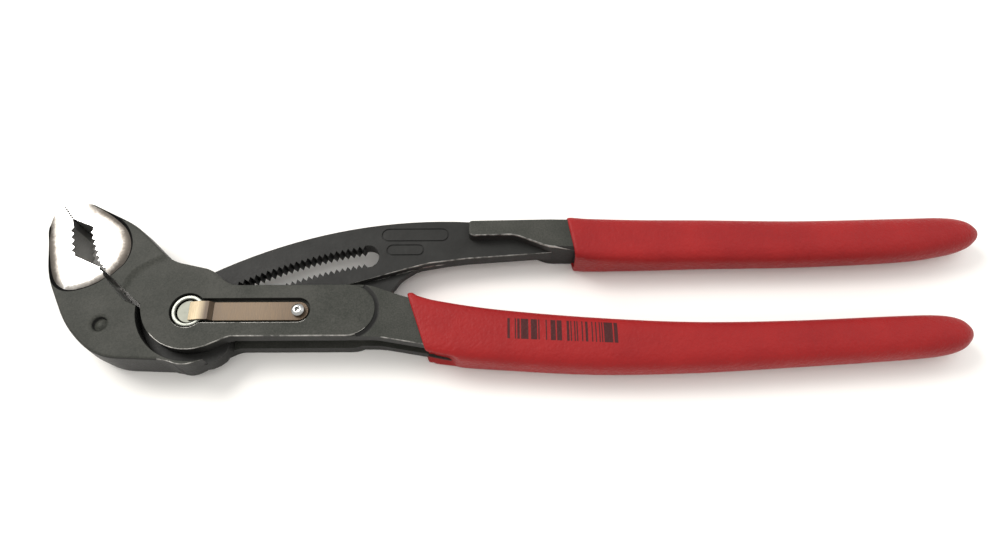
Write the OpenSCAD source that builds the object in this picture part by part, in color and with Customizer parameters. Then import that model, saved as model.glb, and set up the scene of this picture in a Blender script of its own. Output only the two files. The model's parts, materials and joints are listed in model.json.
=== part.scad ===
// Tongue and groove pliers with a push-button pivot, jaws closed.
// Lengths are in millimetres. Outlines are drawn around the pivot, and placed() moves every piece so
// that the origin is under the middle of the tool: +X runs to the handles, +Z out of the spring's face.

/* [Levers] */
// Thickness of the head, over both cheeks
head_t = 19; // [18:0.5:21]
// Thickness of the bare necks behind the head
neck_t = 17; // [15:0.5:17]
// Thickness of the steel inside the grips
tang_t = 10; // [8:0.5:11]
// Width of the gap between the two cheeks
box_gap = 7; // [6.5:0.1:7.2]
// Play on each side of the slotted web in that gap
web_play = 0.15; // [0.1:0.05:0.3]

/* [Toothed slot] */
// Radius of the arc that the slot follows
slot_r = 193; // [192:0.5:194]
// Slope of the slot where the pivot sits with the jaws closed, in degrees
slot_slope = 32; // [31.5:0.1:32.5]
// Distance from one slot tooth to the next
tooth_pitch = 2.45; // [2.4:0.01:2.5]
// Number of steps that the pivot can take along the slot
steps = 30; // [28:1:31]
// Half the slot's width at the tooth tips
slot_tip_w = 3.4; // [3.3:0.05:3.5]
// Half the slot's width at the tooth roots
slot_root_w = 5.2; // [5.1:0.05:5.3]

/* [Pivot] */
// Radius of the pivot's rear drum
drum_r = 9.6; // [9.4:0.1:10]
// Radius of the ring at the pivot's front end
ring_r = 6.8; // [6.7:0.05:7]
// Radial play of the drum and the ring in the cheeks
pivot_play = 0.05; // [0.02:0.01:0.08]
// How far the button pushes the lock core
push = 3.2; // [3.15:0.01:3.22]

/* [Leaf spring] */
// Width of the spring
leaf_w = 8; // [7:0.5:8.5]
// Thickness of the spring
leaf_t = 0.8; // [0.6:0.1:0.8]
// Distance from the pivot to the spring's screw
screw_x = 45.3; // [44:0.1:46]

/* [Grips] */
// Thickness of the coating over the steel
coat_t = 2.4; // [1.8:0.1:2.6]

/* [Hidden] */
$fn = 96;
far = 1;                                    // how far cutters run past the faces that they cut

// Levels
mid_z = head_t / 2;
gap_z0 = mid_z - box_gap / 2;
gap_z1 = mid_z + box_gap / 2;
web_z0 = gap_z0 + web_play;
web_z1 = gap_z1 - web_play;
pocket_z = head_t - 2.8;                    // floor of the spring's pocket
ring_z1 = head_t - 0.8;                     // top of the pivot's ring
core_z1 = head_t - 1.7;                     // top of the lock core
leaf_z = pocket_z + 0.4;                    // underside of the spring, clear of the floor
head_z = leaf_z + leaf_t + 0.25;            // underside of the screw's head

// The tool's middle, seen from the pivot
middle = [134, 13.2];

// Colours
phosphate = [0.29, 0.29, 0.28];
bright = [0.80, 0.80, 0.78];
bronze = [0.66, 0.55, 0.45];
red = [0.80, 0.16, 0.18];

// ---- geometry helpers ----

function unit(v) = v / norm(v);
function flat(p) = [p[0], p[1]];

// Points of an arc about c, from angle a0 to a1
function arc(c, r, a0, a1, n = 24) = [for (i = [0 : n]) c + r * [cos(a0 + (a1 - a0) * i / n),
                                                                  sin(a0 + (a1 - a0) * i / n)]];

// The corner b of an outline a, b, c, rounded to radius r
function fillet(a, b, c, r, n = 10) =
    let (u = unit(a - b), v = unit(c - b), half = acos(u * v) / 2,
         centre = b + unit(u + v) * r / sin(half),
         from = b + u * r / tan(half) - centre,
         turn = (u[0] * v[1] - u[1] * v[0] > 0 ? -1 : 1) * (180 - 2 * half),
         start = atan2(from[1], from[0]))
    arc(centre, r, start, start + turn, n);

// An outline whose corners are [x, y], or [x, y, radius] where they are rounded
function rounded(p) = [for (i = [0 : len(p) - 1])
    let (b = p[i], a = p[(i + len(p) - 1) % len(p)], c = p[(i + 1) % len(p)])
    each (b[2] == undef ? [flat(b)] : fillet(flat(a), flat(b), flat(c), b[2]))];

// Saw teeth from a to b: n of them, cut depth deep into the left side of that line
function teeth(a, b, n, depth) =
    let (along = (b - a) / n, into = depth * [-unit(b - a)[1], unit(b - a)[0]])
    [for (i = [0 : n - 1], half = [0, 1]) a + along * (i + half / 2) + into * half];

// A smooth curve through the rows of a table, n steps between two rows
function blend(p, t) = 0.5 * (2 * p[1] + (p[2] - p[0]) * t + (2 * p[0] - 5 * p[1] + 4 * p[2] - p[3]) * t * t
                              + (3 * p[1] - p[0] - 3 * p[2] + p[3]) * t * t * t);
function smooth(rows, n = 3) = let (last = len(rows) - 1) concat(
    [for (i = [0 : last - 1], j = [0 : n - 1])
        blend([rows[max(i - 1, 0)], rows[i], rows[i + 1], rows[min(i + 2, last)]], j / n)],
    [rows[last]]);

// A closed body through the rings, which all have the same number of points
module loft(rings) {
    m = len(rings[0]);
    last = len(rings) - 1;
    sides = [for (i = [0 : last - 1], j = [0 : m - 1])
        each let (a = i * m + j, b = i * m + (j + 1) % m) [[a, b, b + m], [a, b + m, a + m]]];
    ends = [[for (j = [m - 1 : -1 : 0]) j], [for (j = [0 : m - 1]) last * m + j]];
    polyhedron([for (r = rings) each r], concat(sides, ends), convexity = 6);
}

// A plate with the outline p between two levels
module plate(p, z0, z1) translate([0, 0, z0]) linear_extrude(z1 - z0, convexity = 8) polygon(p);

// A round bar or cutter between two levels
module disc(r, z0, z1, at = [0, 0]) translate([at[0], at[1], z0]) cylinder(r = r, h = z1 - z0);

module placed() translate([-middle[0], -middle[1], 0]) children();

// ---- outer lever: upper jaw, box joint and lower handle ----

mouth_end = [-36.9, 17.2];
upper_heel = [-21.2, 3.6];
boss = [1.5, 4.5];                          // centre of the boss's round underside
boss_r = 21.5;
rear_drop = 0.9;                            // the rear cheek's lower edge stands out by this much
plate_end_r = 11.3;                         // round end of the raised plate
plate_end_x = 77;

// Outline of the head, whose lower edge is drop further out
function outer_head(drop = 0) = rounded(concat(
    [mouth_end],
    teeth([-37.8, 18.4], [-41.9, 22.8], 3, -0.7),
    teeth([-41.9, 22.8], [-47.9, 36.0], 5, -1.3),
    [[-48.0, 36.4], [-46.2, 38.7, 1.2], [-54.2, 41.9, 0.5]],
    teeth([-57.1, 43.2], [-61.9, 49.0], 6, -0.5),
    [[-61.9, 49.2], [-59.8, 51.2, 1.5], [-50.6, 50.6, 10], [-28.5, 39.6, 40], [-10.5, 22.6, 18],
     [6.8, 18.6, 14], [16.5, 11.4, 9],
     [plate_end_x, 11.4, plate_end_r], [plate_end_x, -11.4 - drop, plate_end_r], [18.5, -11.4 - drop, 9]],
    arc(boss, boss_r + drop, 295, 184),
    [upper_heel]));

outer_neck = rounded([[56, 11.2], [73, 11.3, 20], [90, 5.6, 30], [118, 1.5], [118, -18.5],
                      [98, -15.0, 30], [78, -11.4, 30], [56, -11.2]]);

// The gap between the cheeks, whose inner wall leaves room for the web when the jaws open
box_outline = [[-24.2, 6.2], [-12, 10.3], [-8.1, 15.1], [-6.7, 19], [-5.4, 30], [114, 30], [114, -30],
               [-40, -30], [-40, 6.2]];

pocket_y0 = -5.4;
pocket_y1 = 5.2;
pocket_end_r = 5.2;

module leaf_pocket() {
    disc(7.5, pocket_z, head_t + far);
    plate(rounded([[0, pocket_y1], [screw_x + pocket_end_r, pocket_y1, pocket_end_r],
                   [screw_x + pocket_end_r, pocket_y0, pocket_end_r], [0, pocket_y0]]),
          pocket_z, head_t + far);
}

module outer_lever() {
    color(phosphate) placed() difference() {
        union() {
            plate(outer_head(), 0, head_t);
            plate(outer_head(rear_drop), 0, gap_z0);
            plate(outer_neck, mid_z - neck_t / 2, mid_z + neck_t / 2);
            plate(tang(outer_handle, outer_tang_end), mid_z - tang_t / 2, mid_z + tang_t / 2);
        }
        plate(box_outline, gap_z0, gap_z1);
        disc(drum_r + pivot_play, -far, mid_z);
        disc(ring_r + pivot_play, mid_z, head_t + far);
        leaf_pocket();
        disc(screw_r, gap_z1 - far, head_t, [screw_x, 0]);
    }
}

// ---- slotted lever: lower jaw, web with the toothed slot, and upper handle ----

slot_centre = slot_r * [sin(slot_slope), -cos(slot_slope)];
slot_angle = 90 + slot_slope;               // direction of the pivot from the slot's centre
pitch_deg = tooth_pitch / slot_r * 180 / PI;

// The point w outside the slot's middle line, a distance s along it from the pivot
function on_slot(s, w = 0) = let (a = slot_angle - s / slot_r * 180 / PI)
    slot_centre + (slot_r + w) * [cos(a), sin(a)];

tail_x = 7;                                 // where the jaw's tail ends behind the web
web_top = 14;                               // from the slot's middle line to the web's edges
web_bottom = 11.6;
shoulder = [3, 3];                          // centre of the shoulder that wraps round the boss
shoulder_r = 24.8;
slot_end = 7.8;                             // slot left beyond the last place of the pivot

module toothed_slot() {
    travel = steps * tooth_pitch;
    first = -slot_end;
    last = travel + slot_end;
    upper = [for (k = [-1 : steps + 1], side = [-0.5, 0])
        on_slot((k + side) * tooth_pitch, side == 0 ? slot_root_w : slot_tip_w)];
    lower = [for (k = [-1 : steps + 1], side = [-0.5, 0])
        on_slot((k + side) * tooth_pitch, side == 0 ? -slot_root_w : -slot_tip_w)];
    function end_corner(s, w) = [on_slot(s, w)[0], on_slot(s, w)[1], abs(w) - 0.6];
    plate(rounded(concat(
        [end_corner(first, -slot_tip_w), end_corner(first, slot_tip_w)],
        upper,
        [end_corner(last, slot_root_w), end_corner(last, -slot_root_w)],
        [for (i = [len(lower) - 1 : -1 : 0]) lower[i]])),
        web_z0 - far, web_z1 + far);
}

slotted_jaw = rounded(concat(
    arc(shoulder, shoulder_r, 285, 181),
    [[-27.0, 4.9], [-38.2, 15.9]],
    teeth([-38.6, 16.4], [-42.0, 20.4], 2, -0.7),
    [[-42.0, 20.4], [-52.6, 25.2, 1]],
    teeth([-52.6, 26.4], [-55.9, 38.9], 4, 1.4),
    [[-55.9, 38.9]],
    teeth([-57.4, 43.1], [-62.3, 49.1], 6, 0.5),
    [[-62.3, 49.4], [-65.6, 46.8, 3], [-66.9, 38.5, 14], [-61.6, 15.5, 45], [-49.0, -7.5, 50],
     [-34.1, -20.1, 26], [-6.0, -21.2, 20], [1.5, -23.9, 12]]));

web_outline = concat(
    [for (s = [-18 : 6 : 120]) on_slot(s, web_top)],
    [[150, 41], [150, 28], [113.9, 25.4], [97.6, 23.3], [87.9, 20.6]],
    [for (s = [66 : -6 : 12]) on_slot(s, -web_bottom)],
    [[17.0, -12.5], [16.4, -15.4], [14.9, -18.0], [12.6, -19.9], [9.8, -21.2], [6.0, -21.9], [0, -22],
     [-26, -12]]);

shank = rounded([[114.6, 41.4, 1.5], [114.4, 33.7, 2.5], [134, 34.1, 12], [149, 28.2, 12], [170, 28.0],
                 [170, 41.0], [150, 41.9, 60]]);

// A lug under the web, half as thick, that leads to the shank
lug_z1 = mid_z + 0.5;
web_lug = rounded([[70, 8], [80.5, 9.8], [85.5, 17.3, 10], [92, 21.9, 12], [109, 25], [109, 29], [70, 20]]);

dimple = [-35.2, -5.7];

module slotted_lever() {
    color(phosphate) placed() difference() {
        union() {
            plate(slotted_jaw, 0, head_t);
            plate(web_outline, web_z0, web_z1);
            plate(web_lug, web_z0, lug_z1);
            plate(shank, mid_z - neck_t / 2, mid_z + neck_t / 2);
            plate(tang(slotted_handle, slotted_tang_end), mid_z - tang_t / 2, mid_z + tang_t / 2);
        }
        plate([[tail_x, -30], [30, -30], [30, -10], [tail_x, -10]], -far, web_z0);
        toothed_slot();
        disc(3, head_t - 1.2, head_t + far, dimple);
    }
}

// ---- pivot: a drum with two posts through the slot, and a ring on their ends ----

button_r = drum_r - 1.5;
well_z = 1.5 + push + 0.1;                  // the button stops against the well's floor
stem_r = 3;
core_r = 5.2;                               // reach of the core's teeth, inside the ring
core_half = 3.3;                            // half the core's length along the slot
chamfer = 0.3;                              // on the ring's inner edge and the core's end
post_in = 3.5;
post_out = 6.6;
post_w = 3.1;

module drum_posts() rotate(slot_slope) intersection() {
    disc(post_out, gap_z0 - 0.1, gap_z1 + 0.1);
    for (side = [-1, 1])
        translate([side * (post_in + post_out) / 2, 0, mid_z])
            cube([post_out - post_in, 2 * post_w, box_gap + 1], center = true);
}

module pivot_drum() {
    color(bright) placed() {
        difference() {
            disc(drum_r, 0.2, gap_z0 - 0.1);
            disc(button_r + 0.1, -far, well_z);
            disc(stem_r + 0.15, -far, mid_z);
        }
        drum_posts();
    }
}

module pivot_ring() {
    color(bright) placed() difference() {
        disc(ring_r, gap_z1 + 0.1, ring_z1);
        disc(core_r + 0.05, mid_z, ring_z1 + far);
        translate([0, 0, ring_z1 - chamfer]) cylinder(r1 = core_r, r2 = core_r + 2 * chamfer, h = 2 * chamfer);
    }
}

// ---- lock core: its teeth hold the slot, and the button lifts them out of the web ----

core_z0 = web_z1 - 3.05;
core_play = 0.2;

module core_teeth() {
    outer = [for (k = [-1.5 : 0.5 : 1.5]) on_slot(k * tooth_pitch,
        (k == round(k) ? slot_root_w : slot_tip_w) - core_play)];
    inner = [for (k = [1.5 : -0.5 : -1.5]) on_slot(k * tooth_pitch,
        core_play - (k == round(k) ? slot_root_w : slot_tip_w))];
    intersection() {
        plate(concat(outer, inner), core_z0, web_z1);
        disc(core_r, core_z0 - far, web_z1 + far);
        rotate(slot_slope) translate([0, 0, mid_z])
            cube([2 * core_half, 4 * core_r, head_t], center = true);
    }
}

module lock_core() {
    color(bright) placed() {
        disc(stem_r, gap_z0, core_z0);
        core_teeth();
        disc(stem_r, web_z1, gap_z1 + 0.25);
        disc(core_r - core_play, gap_z1 + 0.25, core_z1 - chamfer);
        translate([0, 0, core_z1 - chamfer])
            cylinder(r1 = core_r - core_play, r2 = core_r - core_play - chamfer, h = chamfer);
    }
}

module push_button() {
    color(bright) placed() {
        translate([0, 0, 0.2]) cylinder(r1 = button_r - 0.5, r2 = button_r, h = 0.5);
        disc(button_r, 0.7, 1.5);
        disc(stem_r, 1.5, gap_z0);
    }
}

// ---- leaf spring and its screw ----

screw_r = 1.5;
tip_x = 0.3;

// The spring seen from its edge: flat, up over the ring, then down onto the core
module leaf_profile() {
    polygon([[screw_x + leaf_w / 2, leaf_z], [9.8, leaf_z], [8.2, ring_z1 + 0.15],
             [5.0, ring_z1 + 0.25], [tip_x, core_z1 + 0.06], [tip_x, core_z1 + 0.06 + leaf_t],
             [4.9, ring_z1 + 0.25 + leaf_t], [8.6, ring_z1 + 0.15 + leaf_t],
             [10.2, leaf_z + leaf_t], [screw_x + leaf_w / 2, leaf_z + leaf_t]]);
}

module leaf_spring() {
    color(bronze) placed() difference() {
        intersection() {
            translate([0, leaf_w / 2, 0]) rotate([90, 0, 0]) linear_extrude(leaf_w) leaf_profile();
            union() {
                disc(leaf_w / 2, 0, 2 * head_t, [screw_x, 0]);
                translate([0, -leaf_w / 2, 0]) cube([screw_x, leaf_w, 2 * head_t]);
            }
        }
        disc(screw_r + 0.25, 0, 2 * head_t, [screw_x, 0]);
    }
}

module spring_screw() {
    head_r = 2.6;
    head_h = 1.9;
    lobe_z = head_z + 0.8;
    color(bright) placed() difference() {
        union() {
            disc(screw_r, gap_z1 + 0.2, head_z, [screw_x, 0]);
            disc(head_r, head_z, head_z + head_h - 0.6, [screw_x, 0]);
            translate([screw_x, 0, head_z + head_h - 0.6]) cylinder(r1 = head_r, r2 = head_r - 0.9, h = 0.6);
        }
        disc(0.8, lobe_z, head_t + 3, [screw_x, 0]);
        for (a = [0 : 60 : 300])
            disc(0.32, lobe_z, head_t + 3, [screw_x + 0.8 * cos(a), 0.8 * sin(a)]);
    }
}

// ---- grips: a dipped coat over each tang ----

// Each row is x, y of the middle, half the width, half the thickness, and how far the edge leans
outer_handle = smooth([[93.9, -4.8, 13.4, 9.4, 4.4], [106, -7.6, 12.7, 9.1, 3.0], [128, -10.3, 11.9, 8.4, 0],
                       [168, -13.2, 11.4, 8.0, 0], [208, -13.9, 10.2, 7.8, 0], [248, -12.6, 9.4, 7.6, 0],
                       [288, -10.5, 9.0, 7.5, 0], [307, -9.4, 8.4, 7.3, 0], [316, -8.9, 6.6, 6.2, 0],
                       [320.4, -8.6, 3.4, 3.4, 0], [321.6, -8.5, 1.0, 1.0, 0]]);
slotted_handle = smooth([[158.4, 33.4, 9.8, 9.4, 1.6], [168, 32.9, 10.2, 8.9, 1.0], [190, 32.7, 10.4, 8.1, 0],
                         [214, 32.9, 10.3, 7.8, 0], [257, 32.8, 9.9, 7.6, 0], [299, 34.2, 9.4, 7.5, 0],
                         [319, 35.8, 8.3, 7.2, 0], [328.4, 36.6, 6.3, 6.0, 0], [333.2, 36.9, 3.2, 3.4, 0],
                         [334.6, 37.0, 1.0, 1.0, 0]]);
outer_tang_end = 306;
slotted_tang_end = 318;
ring_points = 32;

// The outline of the steel inside a handle, one coat inside its grip
function tang(rows, end) = let (inner = [for (r = rows) if (r[0] + r[4] < end) r]) concat(
    [for (r = inner) [r[0] + r[4], r[1] + r[2] - coat_t]],
    [for (i = [len(inner) - 1 : -1 : 0]) [inner[i][0] + inner[i][4], inner[i][1] - inner[i][2] + coat_t]]);

// One ring round a handle: a rounded oblong that leans along X
function grip_ring(r) = [for (i = [0 : ring_points - 1])
    let (a = 360 * i / ring_points, c = cos(a), s = sin(a),
         u = sign(c) * pow(abs(c), 0.75), v = sign(s) * pow(abs(s), 0.75))
    [r[0] - r[4] * u, r[1] + r[2] * u, mid_z + r[3] * v]];

module grip(rows, end) {
    difference() {
        loft([for (r = rows) grip_ring(r)]);
        plate(tang(rows, end), mid_z - tang_t / 2, mid_z + tang_t / 2);
        children();
    }
}

module outer_grip() {
    color(red) placed() grip(outer_handle, outer_tang_end)
        plate(outer_neck, mid_z - neck_t / 2, mid_z + neck_t / 2);
}

module slotted_grip() {
    color(red) placed() grip(slotted_handle, slotted_tang_end)
        plate(shank, mid_z - neck_t / 2, mid_z + neck_t / 2);
}

outer_lever();
slotted_lever();
pivot_drum();
pivot_ring();
lock_core();
push_button();
leaf_spring();
spring_screw();
outer_grip();
slotted_grip();
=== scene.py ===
import json
import math

import bmesh
import bpy
from mathutils import Matrix, Vector


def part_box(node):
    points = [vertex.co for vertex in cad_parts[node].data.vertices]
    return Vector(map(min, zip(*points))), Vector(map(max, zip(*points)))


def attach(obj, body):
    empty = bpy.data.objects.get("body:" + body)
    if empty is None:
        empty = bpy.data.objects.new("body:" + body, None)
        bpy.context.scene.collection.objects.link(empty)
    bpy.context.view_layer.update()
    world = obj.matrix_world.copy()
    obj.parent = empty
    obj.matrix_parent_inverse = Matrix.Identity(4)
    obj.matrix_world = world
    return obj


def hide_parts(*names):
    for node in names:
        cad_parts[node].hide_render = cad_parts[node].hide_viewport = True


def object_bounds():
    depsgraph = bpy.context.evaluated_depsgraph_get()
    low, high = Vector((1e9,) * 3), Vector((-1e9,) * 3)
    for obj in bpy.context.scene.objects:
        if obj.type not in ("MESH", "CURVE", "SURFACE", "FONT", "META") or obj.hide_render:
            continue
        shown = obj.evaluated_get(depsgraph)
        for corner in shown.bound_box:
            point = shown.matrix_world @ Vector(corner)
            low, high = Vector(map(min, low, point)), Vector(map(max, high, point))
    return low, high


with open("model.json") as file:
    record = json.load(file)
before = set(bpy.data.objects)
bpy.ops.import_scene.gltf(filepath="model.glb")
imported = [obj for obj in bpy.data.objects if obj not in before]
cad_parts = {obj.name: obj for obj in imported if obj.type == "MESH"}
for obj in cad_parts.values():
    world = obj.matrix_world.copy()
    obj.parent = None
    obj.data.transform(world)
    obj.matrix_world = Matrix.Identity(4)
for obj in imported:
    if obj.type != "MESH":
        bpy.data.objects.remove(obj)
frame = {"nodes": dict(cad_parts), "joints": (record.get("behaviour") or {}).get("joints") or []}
cad_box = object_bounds()

MM = 0.001
PIVOT = Vector(next(joint["pos_m"] for joint in frame["joints"] if joint["name"] == "jaw_pivot"))
NODES = frame["nodes"]
HEAD_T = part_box("outer_lever")[1].z / MM            # thickness of the head
MID_Z = HEAD_T / 2
GROUND_Z = HEAD_T - 0.5                            # the jaws' ground faces
WEB_Z = 12.85                                      # front face of the slotted web
WEB_REAR_Z = 6.15                                  # its rear face
TANG_HALF = 5                                      # half the thickness of the steel inside the grips
DRAFT = 0.5                                        # how far the forged flanks stand out at their middle


def at(x, y, z=0.0):
    """A point given in millimetres from the pivot's axis, with z up from the rest surface."""
    return Vector((PIVOT.x + x * MM, PIVOT.y + y * MM, z * MM))


def local(co):
    """The opposite of at()."""
    return (co.x - PIVOT.x) / MM, (co.y - PIVOT.y) / MM, co.z / MM


# ---- mesh helpers ----

def new_object(name, mesh):
    obj = bpy.data.objects.new(name, mesh)
    bpy.context.scene.collection.objects.link(obj)
    return obj


def from_bmesh(name, bm):
    mesh = bpy.data.meshes.new(name)
    bm.to_mesh(mesh)
    bm.free()
    return new_object(name, mesh)


def apply_modifiers(obj):
    """Bakes an object's modifiers into its mesh."""
    deps = bpy.context.evaluated_depsgraph_get()
    mesh = bpy.data.meshes.new_from_object(obj.evaluated_get(deps))
    obj.modifiers.clear()
    obj.data = mesh


def cut(obj, cutter, operation="DIFFERENCE"):
    modifier = obj.modifiers.new("cut", "BOOLEAN")
    modifier.operation = operation
    modifier.solver = "MANIFOLD"
    modifier.object = cutter
    apply_modifiers(obj)
    bpy.data.objects.remove(cutter)


def sweep(rings):
    """A closed body through rings of points in millimetres."""
    bm = bmesh.new()
    rows = [[bm.verts.new(at(*p)) for p in ring] for ring in rings]
    for low, high in zip(rows, rows[1:]):
        for i in range(len(low)):
            j = (i + 1) % len(low)
            bm.faces.new((low[i], low[j], high[j], high[i]))
    bm.faces.new(rows[0][::-1])
    bm.faces.new(rows[-1])
    bmesh.ops.recalc_face_normals(bm, faces=bm.faces)
    return bm


def prism(outline, levels):
    """A cutter on an outline. Each level is (how far the outline is drawn in, z)."""
    points = counterclockwise(outline)
    rings = [[(x, y, z) for x, y in drawn_in(points, inset)] for inset, z in levels]
    return from_bmesh("cutter", sweep(rings))


def counterclockwise(outline):
    area = sum(a[0] * b[1] - b[0] * a[1] for a, b in zip(outline, outline[1:] + outline[:1]))
    return outline if area > 0 else outline[::-1]


def drawn_in(points, inset):
    """A counterclockwise outline moved inwards along its corners' mean normals."""
    moved = []
    for i, p in enumerate(points):
        a, b = Vector(points[i - 1]), Vector(points[(i + 1) % len(points)])
        along = (b - a).normalized()
        moved.append((p[0] - along.y * inset, p[1] + along.x * inset))
    return moved


def inside(x, y, outline):
    """Is the point in the outline?"""
    odd = False
    for (ax, ay), (bx, by) in zip(outline, outline[1:] + outline[:1]):
        if (ay > y) != (by > y) and x < ax + (y - ay) * (bx - ax) / (by - ay):
            odd = not odd
    return odd


def through(rows, steps=6, closed=False):
    """A smooth curve through a few rows of numbers (Catmull-Rom)."""
    rows = [rows[-1], *rows, rows[0], rows[1]] if closed else [rows[0], *rows, rows[-1]]
    out = []
    for a, b, c, d in zip(rows, rows[1:], rows[2:], rows[3:]):
        for k in range(steps):
            t = k / steps
            out.append(tuple(0.5 * (2 * q + (r - p) * t + (2 * p - 5 * q + 4 * r - s) * t * t
                                    + (3 * q - p - 3 * r + s) * t ** 3) for p, q, r, s in zip(a, b, c, d)))
    if not closed:
        out.append(tuple(rows[-1]))
    return out


def soft_step(low, high, value):
    """0 below low, 1 above high, and smooth between."""
    t = min(max((value - low) / (high - low), 0), 1)
    return t * t * (3 - 2 * t)


def stadium(cx, cy, length, height, steps=12):
    """The outline of a bar with round ends."""
    r = height / 2
    points = []
    for side, start in ((1, -90), (-1, 90)):
        for k in range(steps + 1):
            a = math.radians(start + 180 * k / steps)
            points.append((cx + side * (length / 2 - r) + r * math.cos(a), cy + r * math.sin(a)))
    return points


def mark_sharp(obj, degrees=35):
    """Smooth faces with sharp edges where they turn by more than that."""
    bm = bmesh.new()
    bm.from_mesh(obj.data)
    for face in bm.faces:
        face.smooth = True
    for edge in bm.edges:
        edge.smooth = len(edge.link_faces) == 2 and edge.calc_face_angle(0) < math.radians(degrees)
    bm.to_mesh(obj.data)
    bm.free()


def shade(obj, limit=35):
    """Smooth shading that keeps each level face flat right up to its rounded edges."""
    bm = bmesh.new()
    bm.from_mesh(obj.data)
    cosine = math.cos(math.radians(limit))
    normals = []
    for face in bm.faces:
        for loop in face.loops:
            near = [f for f in loop.vert.link_faces if f.normal.dot(face.normal) > cosine]
            level = [f for f in near if abs(f.normal.z) > 0.9999]
            if face in level or not near:
                normals.append(tuple(face.normal))
            elif level:
                normals.append(tuple(level[0].normal))
            else:
                normals.append(tuple(sum((f.normal * f.calc_area() for f in near), Vector()).normalized()))
    bm.free()
    for face in obj.data.polygons:
        face.use_smooth = True
    obj.data.normals_split_custom_set(normals)


def weighted_normals(obj):
    modifier = obj.modifiers.new("normals", "WEIGHTED_NORMAL")
    modifier.keep_sharp = True
    modifier.weight = 100
    modifier.mode = "FACE_AREA"


# ---- materials ----

def material(name):
    mat = bpy.data.materials.new(name)
    mat.use_nodes = True
    mat.node_tree.nodes.clear()
    out = mat.node_tree.nodes.new("ShaderNodeOutputMaterial")
    bsdf = mat.node_tree.nodes.new("ShaderNodeBsdfPrincipled")
    mat.node_tree.links.new(bsdf.outputs[0], out.inputs[0])
    return mat, mat.node_tree, bsdf


def noise(tree, coords, scale, detail=4.0, rough=0.6):
    made = tree.nodes.new("ShaderNodeTexNoise")
    made.inputs["Scale"].default_value = scale
    made.inputs["Detail"].default_value = detail
    made.inputs["Roughness"].default_value = rough
    tree.links.new(coords, made.inputs["Vector"])
    return made.outputs["Fac"]


def ramp(tree, value, stops):
    made = tree.nodes.new("ShaderNodeValToRGB")
    elements = made.color_ramp.elements
    while len(elements) < len(stops):
        elements.new(0.5)
    for element, (position, colour) in zip(elements, stops):
        element.position = position
        element.color = (*colour, 1) if hasattr(colour, "__len__") else (colour, colour, colour, 1)
    tree.links.new(value, made.inputs[0])
    return made.outputs[0]


def bump(tree, bsdf, layers):
    """Bump layers, each (height, distance in metres, strength), one on the other."""
    previous = None
    for height, distance, strength in layers:
        made = tree.nodes.new("ShaderNodeBump")
        made.inputs["Distance"].default_value = distance
        made.inputs["Strength"].default_value = strength
        tree.links.new(height, made.inputs["Height"])
        if previous:
            tree.links.new(previous, made.inputs["Normal"])
        previous = made.outputs[0]
    tree.links.new(previous, bsdf.inputs["Normal"])


def maths(tree, operation, a, b=None):
    made = tree.nodes.new("ShaderNodeMath")
    made.operation = operation
    for socket, value in zip(made.inputs, (a, b)):
        if isinstance(value, (int, float)):
            socket.default_value = value
        elif value is not None:
            tree.links.new(value, socket)
    return made.outputs[0]


def object_coords(tree):
    return tree.nodes.new("ShaderNodeTexCoord").outputs["Object"]


def split_xyz(tree, coords):
    made = tree.nodes.new("ShaderNodeSeparateXYZ")
    tree.links.new(coords, made.inputs[0])
    return made.outputs


def stretched(tree, coords, scale):
    mapping = tree.nodes.new("ShaderNodeMapping")
    mapping.inputs["Scale"].default_value = scale
    tree.links.new(coords, mapping.inputs["Vector"])
    return mapping.outputs[0]


def phosphate_steel():
    """Dark grey phosphated forging: a fine grain, faint blotches and shot-blast dimples."""
    mat, tree, bsdf = material("phosphate_steel")
    coords = object_coords(tree)
    blotch = noise(tree, coords, 60, 3)
    grain = noise(tree, coords, 1500, 3, 0.7)
    dimples = noise(tree, coords, 420, 2)
    speckle = maths(tree, "ADD", maths(tree, "MULTIPLY", blotch, 0.4), maths(tree, "MULTIPLY", grain, 0.6))
    tree.links.new(ramp(tree, speckle, [(0.38, (0.027, 0.029, 0.024)), (0.62, (0.055, 0.055, 0.048))]),
                   bsdf.inputs["Base Color"])
    tree.links.new(ramp(tree, grain, [(0.3, 0.50), (0.7, 0.62)]), bsdf.inputs["Roughness"])
    bsdf.inputs["Specular IOR Level"].default_value = 0.14
    bump(tree, bsdf, [(dimples, 0.00026, 0.7), (grain, 0.00010, 0.8)])
    return mat


def flank_shade_steel():
    """The same forging with about half its base colour: painted shade for the flanks and the web, which
    face away from the light or lie recessed.
    """
    mat, tree, bsdf = material("painted_shade_flank")
    coords = object_coords(tree)
    grain = noise(tree, coords, 1500, 3, 0.7)
    dimples = noise(tree, coords, 300, 2)
    blotch = noise(tree, coords, 80, 3)
    # About half the forging's base colour: painted shade
    tree.links.new(ramp(tree, blotch, [(0.3, (0.0145, 0.0145, 0.0135)), (0.7, (0.0225, 0.0225, 0.0210))]),
                   bsdf.inputs["Base Color"])
    tree.links.new(ramp(tree, grain, [(0.3, 0.42), (0.7, 0.55)]), bsdf.inputs["Roughness"])
    bsdf.inputs["Specular IOR Level"].default_value = 0.16
    bump(tree, bsdf, [(dimples, 0.00018, 0.6), (grain, 0.00006, 0.6)])
    return mat


def smooth_range(tree, value, low, high):
    """In a material: 0 at low, 1 at high, and smooth between."""
    made = tree.nodes.new("ShaderNodeMapRange")
    made.interpolation_type = "SMOOTHSTEP"
    made.inputs["From Min"].default_value = low
    made.inputs["From Max"].default_value = high
    tree.links.new(value, made.inputs[0])
    return made.outputs[0]


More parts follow.
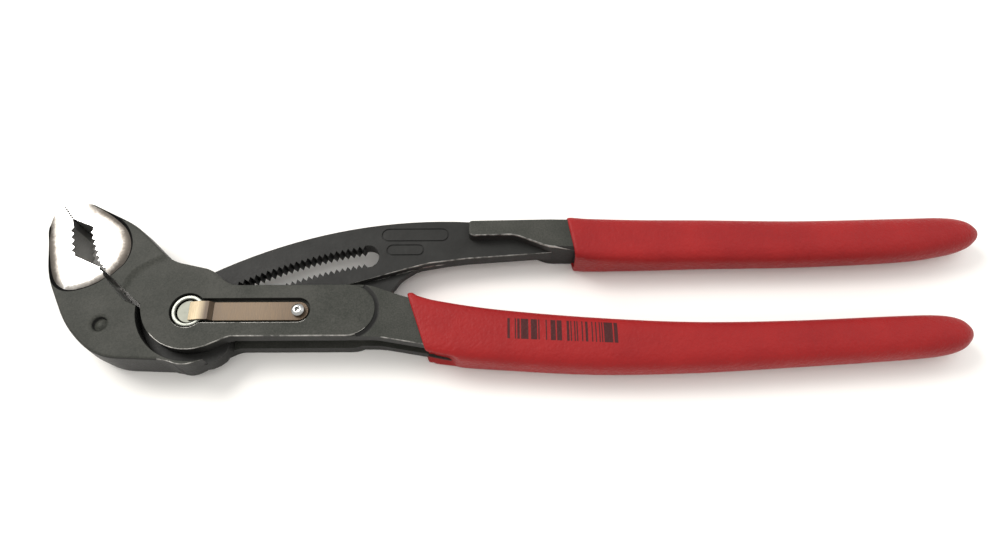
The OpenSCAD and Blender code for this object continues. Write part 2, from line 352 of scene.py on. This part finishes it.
def ground_steel():
    """Bright ground steel with a painted darker, brownish reflection towards the outer edge of each jaw's
    ground face, and a random mottle.
    """
    mat, tree, bsdf = material("ground_steel")
    coords = object_coords(tree)
    scratches = noise(tree, stretched(tree, coords, (180, 2600, 600)), 1, 3, 0.7)
    mottle = noise(tree, coords, 420, 4, 0.7)
    x, y = split_xyz(tree, coords)[:2]
    # Painted darker reflection on the upper jaw's face, growing away from a point by the mouth, and not at
    # the tip
    middle = at(-50, 28)
    dx, dy = (maths(tree, "SUBTRACT", value, centre) for value, centre in ((x, middle.x), (y, middle.y)))
    squares = maths(tree, "ADD", maths(tree, "POWER", dx, 2.0), maths(tree, "POWER", dy, 2.0))
    upper = maths(tree, "MULTIPLY", smooth_range(tree, maths(tree, "SQRT", squares), 11 * MM, 20 * MM),
                  smooth_range(tree, x, at(-63, 0).x, at(-42, 0).x))
    # Painted darker reflection on the lower jaw's face, growing towards the straight back of the jaw,
    # through corner and square to across
    corner = at(-67.6, 44)
    across = Vector((0.957, 0.29))
    from_back = maths(tree, "ADD",
                      maths(tree, "MULTIPLY", maths(tree, "SUBTRACT", x, corner.x), across.x),
                      maths(tree, "MULTIPLY", maths(tree, "SUBTRACT", y, corner.y), across.y))
    lower = smooth_range(tree, from_back, 6.5 * MM, -1 * MM)
    # Mask of painted reflection plus a random mottle: base colour runs from near-white down to dark brown
    dim_reflection_and_mottle = maths(tree, "ADD", maths(tree, "MAXIMUM", upper, lower),
                  maths(tree, "MULTIPLY", maths(tree, "SUBTRACT", mottle, 0.5), 0.7))
    tree.links.new(ramp(tree, dim_reflection_and_mottle, [(0.2, (0.95, 0.94, 0.92)), (0.45, (0.34, 0.32, 0.295)),
                                      (0.9, (0.085, 0.075, 0.065))]),
                   bsdf.inputs["Base Color"])
    tree.links.new(ramp(tree, scratches, [(0.3, 0.26), (0.7, 0.40)]), bsdf.inputs["Roughness"])
    bsdf.inputs["Metallic"].default_value = 1.0
    bump(tree, bsdf, [(scratches, 0.00001, 0.5), (mottle, 0.00003, 0.35)])
    return mat


def machined_steel(name, colour, roughness):
    """Cut steel with faint tool marks."""
    mat, tree, bsdf = material(name)
    marks = noise(tree, stretched(tree, object_coords(tree), (300, 300, 2500)), 1, 3, 0.6)
    darker = tuple(c * 0.8 for c in colour)
    tree.links.new(ramp(tree, marks, [(0.3, darker), (0.7, colour)]), bsdf.inputs["Base Color"])
    bsdf.inputs["Metallic"].default_value = 1.0
    bsdf.inputs["Roughness"].default_value = roughness
    bump(tree, bsdf, [(marks, 0.00002, 0.4)])
    return mat


def painted_step_shade():
    """Near-black painted shade for the steep step round a ground face."""
    mat, tree, bsdf = material("painted_step_shade")
    grain = noise(tree, object_coords(tree), 900, 3)
    tree.links.new(ramp(tree, grain, [(0.3, 0.003), (0.7, 0.006)]), bsdf.inputs["Base Color"])
    bsdf.inputs["Roughness"].default_value = 0.8
    bsdf.inputs["Specular IOR Level"].default_value = 0.05
    return mat


def worn_edge_and_highlight():
    """Bare steel where the coat has rubbed off an edge, put only on edges that face the camera or the
    light, so it is also a painted highlight.
    """
    mat, tree, bsdf = material("worn_edge_and_highlight")
    coords = object_coords(tree)
    patches = noise(tree, coords, 300, 3)
    tree.links.new(ramp(tree, patches, [(0.35, (0.06, 0.06, 0.055)), (0.62, (0.34, 0.33, 0.31))]),
                   bsdf.inputs["Base Color"])
    bsdf.inputs["Metallic"].default_value = 0.9
    bsdf.inputs["Roughness"].default_value = 0.34
    return mat


def turned_steel(centre):
    """Bright steel off a lathe: fine rings about an axis through centre."""
    mat, tree, bsdf = material("turned_steel")
    coords = object_coords(tree)
    shifted = tree.nodes.new("ShaderNodeVectorMath")
    shifted.operation = "SUBTRACT"
    shifted.inputs[1].default_value = centre
    tree.links.new(coords, shifted.inputs[0])
    flat = stretched(tree, shifted.outputs[0], (1, 1, 0))
    length = tree.nodes.new("ShaderNodeVectorMath")
    length.operation = "LENGTH"
    tree.links.new(flat, length.inputs[0])
    rings = noise(tree, stretched(tree, length.outputs["Value"], (9000, 0, 0)), 1, 2)
    mottle = noise(tree, coords, 500, 3)
    tree.links.new(ramp(tree, mottle, [(0.3, (0.125, 0.13, 0.115)), (0.7, (0.19, 0.195, 0.175))]),
                   bsdf.inputs["Base Color"])
    tree.links.new(ramp(tree, rings, [(0.3, 0.22), (0.7, 0.36)]), bsdf.inputs["Roughness"])
    bsdf.inputs["Metallic"].default_value = 1.0
    bump(tree, bsdf, [(rings, 0.00002, 0.3)])
    return mat


def spring_steel():
    """Bronze-tempered strip, brushed across its width, paler at the raised tip, with painted shade in a
    darker band at the bend behind the tip.
    """
    mat, tree, bsdf = material("spring_steel")
    coords = object_coords(tree)
    brushed = noise(tree, stretched(tree, coords, (4200, 160, 160)), 1, 3, 0.7)
    along = tree.nodes.new("ShaderNodeMapRange")
    along.inputs["From Min"].default_value = at(-1, 0).x
    along.inputs["From Max"].default_value = at(49, 0).x
    tree.links.new(split_xyz(tree, coords)[0], along.inputs[0])
    # Along the strip: pale on the raised tip, a dark band of painted shade at the bend, then brown, a
    # little darker at the far end
    temper_and_bend_shade = ramp(tree, along.outputs[0], [(0.0, (0.42, 0.33, 0.20)), (0.10, (0.40, 0.32, 0.20)),
                                           (0.17, (0.070, 0.044, 0.025)), (0.3, (0.112, 0.074, 0.040)),
                                           (0.6, (0.133, 0.089, 0.050)), (0.95, (0.103, 0.066, 0.036))])
    streaks = ramp(tree, brushed, [(0.35, 0.62), (0.65, 1.1)])
    mix = tree.nodes.new("ShaderNodeMix")
    mix.data_type = "RGBA"
    mix.blend_type = "MULTIPLY"
    mix.inputs["Factor"].default_value = 1.0
    tree.links.new(temper_and_bend_shade, mix.inputs[6])
    tree.links.new(streaks, mix.inputs[7])
    tree.links.new(mix.outputs[2], bsdf.inputs["Base Color"])
    tree.links.new(ramp(tree, brushed, [(0.3, 0.34), (0.7, 0.48)]), bsdf.inputs["Roughness"])
    bsdf.inputs["Metallic"].default_value = 0.35
    bump(tree, bsdf, [(brushed, 0.00002, 0.4)])
    return mat


def printed_bars(tree, coords):
    """Above 0 inside a made-up pattern of printed bars on the front of the lower grip, 0 elsewhere."""
    x, y, z = split_xyz(tree, coords)
    low, high = at(131, -12.4), at(175.5, -3.6)
    slope, bar_width, blank_share, ink = 0.045, 0.5 * MM, 0.42, 0.9
    slanted = maths(tree, "ADD", y, maths(tree, "MULTIPLY", maths(tree, "SUBTRACT", x, low.x), slope))
    cells = maths(tree, "FLOOR", maths(tree, "MULTIPLY", x, 1 / bar_width))
    white = tree.nodes.new("ShaderNodeTexWhiteNoise")
    white.noise_dimensions = "1D"
    tree.links.new(cells, white.inputs["W"])
    mask = maths(tree, "GREATER_THAN", white.outputs["Value"], blank_share)
    for test in (maths(tree, "GREATER_THAN", x, low.x), maths(tree, "LESS_THAN", x, high.x),
                 maths(tree, "GREATER_THAN", slanted, low.y), maths(tree, "LESS_THAN", slanted, high.y),
                 maths(tree, "GREATER_THAN", z, MID_Z * MM)):
        mask = maths(tree, "MULTIPLY", mask, test)
    return maths(tree, "MULTIPLY", mask, ink)


def dipped_grip():
    """Dipped soft plastic: saturated red with a fine leathery skin."""
    mat, tree, bsdf = material("dipped_grip")
    coords = object_coords(tree)
    cells = tree.nodes.new("ShaderNodeTexVoronoi")
    cells.inputs["Scale"].default_value = 900
    tree.links.new(coords, cells.inputs["Vector"])
    leather = noise(tree, coords, 520, 5, 0.65)
    cloud = noise(tree, coords, 45, 3)
    red = ramp(tree, cloud, [(0.3, (0.235, 0.005, 0.006)), (0.7, (0.285, 0.008, 0.008))])
    mix = tree.nodes.new("ShaderNodeMix")
    mix.data_type = "RGBA"
    mix.inputs[7].default_value = (0.022, 0.005, 0.005, 1)
    tree.links.new(printed_bars(tree, coords), mix.inputs["Factor"])
    tree.links.new(red, mix.inputs[6])
    tree.links.new(mix.outputs[2], bsdf.inputs["Base Color"])
    tree.links.new(ramp(tree, leather, [(0.3, 0.40), (0.7, 0.56)]), bsdf.inputs["Roughness"])
    bsdf.inputs["Specular IOR Level"].default_value = 0.24
    bump(tree, bsdf, [(leather, 0.0006, 0.7), (cells.outputs["Distance"], 0.0002, 0.5)])
    return mat


def floor_paint():
    mat, _, bsdf = material("floor")
    bsdf.inputs["Base Color"].default_value = (0.93, 0.915, 0.885, 1)
    bsdf.inputs["Roughness"].default_value = 0.9
    return mat


STEEL = phosphate_steel()
SHADED_FLANK = flank_shade_steel()
GROUND = ground_steel()
WORN_HIGHLIGHT = worn_edge_and_highlight()
TURNED = turned_steel(PIVOT)
MILLED = machined_steel("milled_steel", (0.52, 0.52, 0.51), 0.42)
STEP_SHADE = painted_step_shade()
CORE = machined_steel("core_steel", (0.205, 0.21, 0.18), 0.5)
GRIP = dipped_grip()

# ---- levers, forged and ground ----

# Each jaw's ground face: its edge on the steel, then a loop through the air around the jaw
UPPER_GROUND = through([(-50.1, 50.2), (-44.9, 47.3), (-39.0, 43.4), (-33.2, 38.3), (-30.1, 32.5),
                        (-29.5, 27.1), (-30.8, 22.2), (-33.4, 18.9), (-36.6, 15.5), (-44.0, 10.0),
                        (-58.0, 14.0), (-72.0, 34.0), (-74.0, 54.0), (-62.0, 64.0), (-54.0, 56.0)], 6, True)
LOWER_GROUND = through([(-67.6, 44.0), (-66.0, 38.0), (-65.2, 31.8), (-63.2, 24.6), (-60.9, 18.0),
                        (-58.3, 13.3), (-54.9, 10.6), (-51.3, 9.8), (-47.4, 10.4), (-43.0, 12.0),
                        (-38.4, 14.9), (-30.0, 24.0), (-32.0, 40.0), (-44.0, 58.0), (-60.0, 66.0),
                        (-71.0, 58.0)], 6, True)
# The ground face dips towards its edge, where a steep step comes up to the forged face
GROUND_LEVELS = [(6.0, GROUND_Z), (4.4, GROUND_Z - 0.03), (3.0, GROUND_Z - 0.13),
                 (1.8, GROUND_Z - 0.30), (0.8, GROUND_Z - 0.50), (0.0, GROUND_Z - 0.72),
                 (-1.25, HEAD_T + 0.02), (-1.25, HEAD_T + 2)]


def lever_copy(name):
    """The lever's CAD mesh with its flat faces joined again, ready to be worked on."""
    bm = bmesh.new()
    bm.from_mesh(NODES[name].data)
    bmesh.ops.remove_doubles(bm, verts=bm.verts, dist=2e-6)
    bmesh.ops.dissolve_limit(bm, angle_limit=math.radians(0.4), verts=bm.verts, edges=bm.edges)
    return bm


def level_edge(edge):
    """The flank's normal, for an edge where a level face turns down to its flank."""
    if len(edge.link_faces) != 2:
        return None
    flank, level = sorted(edge.link_faces, key=lambda f: abs(f.normal.z))
    if abs(level.normal.z) < 0.99 or abs(flank.normal.z) > 0.1:
        return None
    if (level.normal.z > 0) != (flank.calc_center_median().z < edge.verts[0].co.z):
        return None                                # the foot of a wall
    return flank.normal


def round_edges(bm, rule):
    """Rounds the edges of level faces: rule(x, y, z, flank's normal) gives each one's width in mm."""
    classes = {}
    for edge in bm.edges:
        normal = level_edge(edge)
        if normal is not None:
            x, y, z = local((edge.verts[0].co + edge.verts[1].co) / 2)
            width = rule(x, y, z, normal)
            if width:
                classes.setdefault(width, []).append(edge)
    for width in sorted(classes, reverse=True):
        edges = [e for e in classes[width] if e.is_valid]
        bmesh.ops.bevel(bm, geom=edges, offset=width * MM, segments=4 if width > 0.8 else 2, profile=0.5,
                        affect="EDGES", clamp_overlap=False, offset_type="OFFSET")


def swell(bm, rule, amount):
    """Forging draft: the chosen flanks stand out a little at the parting line, half way up."""
    geometry = bm.verts[:] + bm.edges[:] + bm.faces[:]
    bmesh.ops.bisect_plane(bm, geom=geometry, dist=1e-7, plane_co=(0, 0, MID_Z * MM), plane_no=(0, 0, 1))
    bm.normal_update()
    moves = []
    for vert in bm.verts:
        if abs(vert.co.z / MM - MID_Z) < 0.01:
            out = sum((f.normal for f in vert.link_faces if abs(f.normal.z) < 0.3), Vector())
            if out.length > 0:
                out.normalize()
                x, y, _ = local(vert.co)
                if rule(x, y, out):
                    moves.append((vert, out * amount * MM))
    for vert, move in moves:
        vert.co += move
        for axis in (0, 1):
            vert.co[axis] = min(max(vert.co[axis], cad_box[0][axis]), cad_box[1][axis])


def outer_rule(x, y, z, n):
    """How wide the outer lever's edges are rounded, in mm."""
    if z < 5 and math.hypot(x, y) < 12:
        return 0.2                                 # the drum's bore
    if abs(z - MID_Z) < 4 or x > 112:
        return 0
    if z > 15 and (math.hypot(x, y) < 8.2 or abs(y) < 6.5 and -1 < x < 52):
        return 0.18                                # the pocket
    if abs(z - MID_Z) < 9:
        return 0.35 if x > 84 else 0               # the neck
    if x < -20 and n.x < 0.0 and n.y < 0.5:
        return 0.12 if y > 17 else 0.5             # the mouth, then the heel
    if x > -24 and y < 14 and n.y < 0.5:
        return 0.4                                 # the boss and the ground lower edge
    return 1.2


def slotted_rule(x, y, z, n):
    """How wide the slotted lever's edges are rounded, in mm."""
    if x > 160 or z < 5 and x > 112:
        return 0
    if abs(z - MID_Z) < 4:
        web_edge = x > 66 and y < 27.5 and n.y < 0 and abs(n.x) < 0.5
        return 0.4 if web_edge else 0              # the slot's edges stay sharp
    if x < -21 and n.x > 0.02 and y > 2:
        return 0.12 if y > 15 else 1.0             # the mouth, then the heel
    if -30 < x < 100 and n.y > 0.0 or x > -8 and y < -17:
        return 0.3                                 # the shoulder round the boss
    if x > 100 and n.y < -0.5:
        return 0.6
    return 1.2


def outer_swell(x, y, n):
    """Is it on the flank along the upper jaw's back?"""
    return n.y > 0.3 and x < 4 and y > 46 - 0.59 * (x + 55.5) and y > 14


def slotted_swell(x, _, n):
    """Is it on the flank along the lower jaw's back and underside?"""
    return x < -2 and (n.x < -0.3 or n.y < -0.5)


def assign(obj, ground_outline, faces_mouth):
    """Sets each face's material by where it is and how it lies."""
    obj.data.materials.clear()
    for mat in (STEEL, SHADED_FLANK, GROUND, WORN_HIGHLIGHT, MILLED, STEP_SHADE):
        obj.data.materials.append(mat)
    steel, flank, ground, worn_highlight, milled, step_shade = range(6)
    around = drawn_in(counterclockwise(ground_outline), -1.3)
    for face in obj.data.polygons:
        n = face.normal
        x, y, z = local(face.center)
        pocket = abs(y) < 8 and -9 < x < 52
        front_or_back = z > GROUND_Z - 1.2 or z < 1.0
        in_gap = 6.5 < z < 13.5                    # the web, and the walls of the gap that it runs in, which get painted shade
        if inside(x, y, ground_outline) and abs(n.z) > 0.7 and front_or_back:
            face.material_index = ground
        # The steep step round a ground face: near-black painted shade
        elif abs(n.z) < 0.97 and inside(x, y, around) and z > GROUND_Z - 1.2 and abs(n.z) > 0.4:
            face.material_index = step_shade
        # Upright faces take the darker flank steel, painted shade; the mouth's walls take milled steel
        elif abs(n.z) < 0.6:
            face.material_index = milled if x < -21 and faces_mouth(x, y, n) else flank
        else:
            # Level faces in the gap take the darker flank steel: painted shade in the recess
            face.material_index = flank if in_gap else steel
        neck_groove = 58 < x < 79 and z < HEAD_T - 0.95
        # The side given worn steel: towards the camera, and in the pocket towards the light, so it is wear
        # and a painted highlight
        rubbed_and_lit_side = n.y > 0.25 if pocket else n.y < -0.25
        # Sloping faces in the neck groove take the darker flank steel: painted shade in the groove
        if neck_groove and 0.35 < n.z < 0.97:
            face.material_index = flank
        # Bright worn steel on these rounded edges: wear and a painted highlight
        elif rubbed_and_lit_side and 0.35 < n.z < 0.95 and x > -14 and (x > 0 or y < 15):
            face.material_index = worn_highlight


def valley(path, profile, level=HEAD_T):
    """Sinks a soft valley into a level face. A profile row is how far right of the path, and depth."""
    rings = []
    for i, p in enumerate(path):
        a, b = Vector(path[max(i - 1, 0)]), Vector(path[min(i + 1, len(path) - 1)])
        along = (b - a).normalized()
        side = [(p[0] + along.y * d, p[1] - along.x * d, level - depth) for d, depth in profile]
        rings.append(side + [(*side[-1][:2], HEAD_T + 2), (*side[0][:2], HEAD_T + 2)])
    return from_bmesh("cutter", sweep(rings))


def turned(profile, cx, cy, steps=48):
    """A round body about an upright axis: the profile's rows are radius and z."""
    rings = [[(cx + r * math.cos(math.tau * k / steps), cy + r * math.sin(math.tau * k / steps), z)
              for k in range(steps)] for r, z in profile]
    return from_bmesh("cutter", sweep(rings))


def finish_lever(obj, name, body, ground_outline, hidden, faces_mouth):
    """Grinds both faces of the jaw, cuts the steel inside the grip down to its tang, and hands it over."""
    cut(obj, prism(ground_outline, GROUND_LEVELS))
    cut(obj, prism(ground_outline, [(0, -2), (0, HEAD_T - GROUND_Z)]))
    for low, high in ((-1, MID_Z - TANG_HALF), (MID_Z + TANG_HALF, HEAD_T + 1)):
        cut(obj, prism(hidden, [(0, low), (0, high)]))
    assign(obj, ground_outline, faces_mouth)
    shade(obj)
    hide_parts(name)
    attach(obj, body)


def outer_lever():
    bm = lever_copy("outer_lever")
    round_edges(bm, outer_rule)
    swell(bm, outer_swell, DRAFT)
    bmesh.ops.triangulate(bm, faces=bm.faces)
    obj = from_bmesh("outer_lever_forged", bm)
    # The soft step from the jaw down to the boss
    foot = through([(-29.5, 3.0), (-27.4, 11.2), (-25.4, 16.2),
                    (-20.4, 20.4), (-13.2, 24.2), (-5.0, 27.5)], 8)
    slope = [(-2.2, -0.02), (-1.6, 0.06), (-0.9, 0.28), (-0.2, 0.56), (0.5, 0.78), (1.2, 0.88),
             (2.0, 0.90), (3.2, 0.82), (4.6, 0.60), (6.0, 0.34), (7.2, 0.14), (8.4, -0.02)]
    cut(obj, valley(foot, slope))
    # A groove in the neck at the foot of the raised plate's round end
    end_x, end_r, neck_z = 65.7, 12.0, HEAD_T - 1
    turns = [math.radians(a) for a in range(62, -71, -4)]
    groove = [(end_x + end_r * math.cos(a), end_r * math.sin(a)) for a in turns]
    cut(obj, valley(groove, [(-0.9, -0.02), (-0.55, 0.2), (0, 0.38), (0.55, 0.2), (0.9, -0.02)], neck_z))
    in_grip = [(94.5, 12), (102.5, -22), (125, -22), (125, 12)]
    finish_lever(obj, "outer_lever", "outer", UPPER_GROUND, in_grip,
                 lambda x, y, n: n.x < 0 and (n.y < 0.45 or y < 40))


def engrave(obj, cx, cy, length, height, z, width=0.7, depth=0.4):
    """Cuts a bar-shaped line into a level face."""
    ring = prism(stadium(cx, cy, length, height), [(0, z - depth), (0, z + 1)])
    core = prism(stadium(cx, cy, length - 2 * width, height - 2 * width), [(0, z - depth - 1), (0, z + 2)])
    cut(ring, core)
    cut(obj, ring)


def slotted_lever():
    bm = lever_copy("slotted_lever")
    round_edges(bm, slotted_rule)
    swell(bm, slotted_swell, DRAFT)
    bmesh.ops.triangulate(bm, faces=bm.faces)
    obj = from_bmesh("slotted_lever_forged", bm)
    # The dimple: a soft rim, a hole, and a low dome in it
    dx, dy = -35.2, -5.7
    cut(obj, turned([(3.4, HEAD_T - 2.4), (3.4, HEAD_T - 0.6)], dx, dy), "UNION")
    depths = [(0.3, 0.95), (1.0, 1.05), (1.7, 1.4), (2.3, 1.8), (2.7, 1.9), (3.0, 1.5),
              (3.1, 0.7), (3.35, 0.38), (3.8, 0.16), (4.4, 0.04), (4.9, -0.05), (4.9, -1)]
    cut(obj, turned([(r, HEAD_T - depth) for r, depth in depths], dx, dy))
    # The tail's underside rises to the web in a soft ramp
    start, length, top, steps = -9, 18.6, WEB_REAR_Z - 0.03, 12
    rise = [(start + length * k / steps, top * soft_step(0, steps, k)) for k in range(steps + 1)]
    under = [(start, -2), *rise, (30, top), (30, -2)]
    cut(obj, from_bmesh("cutter", sweep([[(x, y, z) for x, z in under] for y in (-34, -12)])))
    engrave(obj, 91.2, 36.8, 29.4, 6.4, WEB_Z)
    engrave(obj, 87.2, 29.6, 16.4, 5.4, WEB_Z)
    in_grip = [(160.5, 46), (163.8, 20), (176, 20), (176, 46)]
    finish_lever(obj, "slotted_lever", "slotted", LOWER_GROUND, in_grip, lambda x, y, n: n.x > 0 and y > 4)


# ---- small steel parts: the CAD shapes with softened edges ----

def finish_node(name, mat, width=0.15):
    obj = NODES[name]
    obj.data.materials.clear()
    obj.data.materials.append(mat)
    weld = obj.modifiers.new("weld", "WELD")
    weld.merge_threshold = 2e-6
    bevel = obj.modifiers.new("bevel", "BEVEL")
    bevel.width = width * MM
    bevel.segments = 2
    bevel.limit_method = "ANGLE"
    bevel.angle_limit = math.radians(40)
    bevel.harden_normals = False
    for face in obj.data.polygons:
        face.use_smooth = True
    weighted_normals(obj)


# ---- grips: a dipped coat with a rolled edge ----

# x, y of the middle, half the width, half the thickness, lean of the edge, and how round the section is
OUTER_GRIP = [(93.9, -4.8, 13.4, 9.4, 4.4, 0.34), (98, -5.9, 13.1, 9.4, 3.9, 0.36),
              (106, -7.6, 12.7, 9.1, 3.0, 0.42), (128, -10.3, 11.9, 8.4, 0, 0.52),
              (168, -13.2, 11.35, 8.0, 0, 0.60), (208, -13.9, 10.2, 7.8, 0, 0.68),
              (248, -12.6, 9.4, 7.6, 0, 0.74), (288, -10.5, 9.0, 7.5, 0, 0.78),
              (307, -9.4, 8.4, 7.3, 0, 0.84), (316, -8.9, 6.6, 6.2, 0, 0.92),
              (320.4, -8.6, 3.4, 3.4, 0, 1.0), (321.6, -8.5, 1.0, 1.0, 0, 1.0)]
SLOTTED_GRIP = [(158.4, 33.4, 9.8, 9.4, 1.6, 0.36), (162, 33.2, 10.0, 9.3, 1.4, 0.38),
                (168, 32.9, 10.2, 8.9, 1.0, 0.44), (190, 32.7, 10.4, 8.1, 0, 0.56),
                (214, 32.9, 10.3, 7.8, 0, 0.64), (257, 32.8, 9.9, 7.6, 0, 0.72),
                (299, 34.2, 9.4, 7.5, 0, 0.78), (319, 35.8, 8.3, 7.2, 0, 0.86),
                (328.4, 36.6, 6.3, 6.0, 0, 0.94), (333.2, 36.9, 3.2, 3.4, 0, 1.0),
                (334.6, 37.0, 1.0, 1.0, 0, 1.0)]
# The rolled edge, from the inside out: along the grip, and how far inside the section
LIP = [(1.4, 2.2), (0.25, 1.7), (-0.10, 1.15), (-0.12, 0.65), (0.05, 0.25), (0.45, 0.02), (1.1, -0.07),
       (2.0, -0.06)]


def rounded_oblong(wide, thick, roundness, count=96):
    """Points evenly spread round an oblong: roundness 1 is an ellipse, and 0 a box."""
    fine = 1440
    dense = []
    for k in range(fine):
        c, d = math.cos(math.tau * k / fine), math.sin(math.tau * k / fine)
        dense.append((math.copysign(abs(c) ** roundness, c), math.copysign(abs(d) ** roundness, d)))
    pairs = zip(dense, dense[1:] + dense[:1])
    steps = [math.hypot((p[0] - q[0]) * wide, (p[1] - q[1]) * thick) for p, q in pairs]
    total, travelled, out = sum(steps), 0.0, []
    for point, step in zip(dense, steps):
        if travelled >= total * len(out) / count - 1e-9 and len(out) < count:
            out.append(point)
        travelled += step
    return out


def grip(name, cad_name, body, rows, dimple_x=None):
    """A loft along the handle's rows. From dimple_x to the edge the coat sinks into the gap under it."""
    x0, y0, wide0, thick0, *rest = rows[0]
    dimple_depth, dimple_half_height, dimple_fade, lip_length = 3.4, 6.2, 6, 3.2
    stations = [(x0 + along, y0, wide0 - into, thick0 - into, *rest) for along, into in LIP]
    stations += [row for row in through(rows, 12) if row[0] > x0 + lip_length]
    rings = []
    for x, y, wide, thick, lean, roundness in stations:
        ring = []
        for u, v in rounded_oblong(wide, thick, roundness):
            px, py, pz = x - lean * u, y + wide * u, MID_Z + thick * v
            if dimple_x and u < -0.3:
                near_edge = 1 - soft_step(dimple_x - dimple_fade, dimple_x, px)
                py += dimple_depth * near_edge * math.exp(-(thick * v / dimple_half_height) ** 6)
            ring.append((px, py, pz))
        rings.append(ring)
    obj = from_bmesh(name, sweep(rings))
    obj.data.materials.append(GRIP)
    mark_sharp(obj, 60)
    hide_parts(cad_name)
    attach(obj, body)


# ---- camera, floor and light ----

def camera():
    """At the height and tilt of someone standing over the bench."""
    eye = Vector((-1.93, -126.21, 307.29)) * MM
    target = Vector((-5.96, 0.34, 19.0)) * MM
    forward = (target - eye).normalized()
    right = forward.cross(Vector((0, 1, 0))).normalized()
    up = right.cross(forward)
    data = bpy.data.cameras.new("camera")
    data.sensor_width = 36
    data.lens = 27.36
    data.clip_start = 0.01
    obj = bpy.data.objects.new("camera", data)
    bpy.context.scene.collection.objects.link(obj)
    obj.matrix_world = Matrix((
        (right.x, up.x, -forward.x, eye.x),
        (right.y, up.y, -forward.y, eye.y),
        (right.z, up.z, -forward.z, eye.z),
        (0, 0, 0, 1)))
    bpy.context.scene.camera = obj


def area_light(name, position, target, size, power, colour):
    data = bpy.data.lights.new(name, "AREA")
    data.shape = "RECTANGLE"
    data.size, data.size_y = size
    data.energy = power
    data.color = colour
    obj = bpy.data.objects.new(name, data)
    bpy.context.scene.collection.objects.link(obj)
    obj.location = position
    obj.rotation_euler = (Vector(target) - Vector(position)).to_track_quat("-Z", "Y").to_euler()


def stage():
    bm = bmesh.new()
    bmesh.ops.create_grid(bm, x_segments=1, y_segments=1, size=4)    # metres, half its side
    floor = from_bmesh("floor", bm)
    floor.location.z = -0.05 * MM                  # just clear of the rear cheek
    floor.data.materials.append(floor_paint())
    world = bpy.data.worlds.new("world")
    bpy.context.scene.world = world
    world.use_nodes = True
    background = world.node_tree.nodes["Background"]
    background.inputs[0].default_value = (1.0, 0.985, 0.965, 1)
    background.inputs[1].default_value = 0.92
    area_light("key", (-0.74, 0.53, 0.96), (-0.05, 0, 0), (0.62, 0.62), 12.5, (1, 0.98, 0.95))
    area_light("fill", (0.6, 0.3, 0.9), (0, 0, 0), (0.8, 0.8), 2, (0.96, 0.98, 1))
    bpy.context.scene.view_settings.view_transform = "Standard"


camera()
stage()
outer_lever()
slotted_lever()
for name, mat in (("pivot_drum", TURNED), ("pivot_ring", TURNED),
                  ("lock_core", CORE), ("push_button", TURNED)):
    finish_node(name, mat)
finish_node("leaf_spring", spring_steel(), 0.1)
finish_node("spring_screw", machined_steel("screw_steel", (0.42, 0.42, 0.41), 0.24), 0.1)
grip("lower_grip_coat", "outer_grip", "outer", OUTER_GRIP, 112)
grip("upper_grip_coat", "slotted_grip", "slotted", SLOTTED_GRIP)
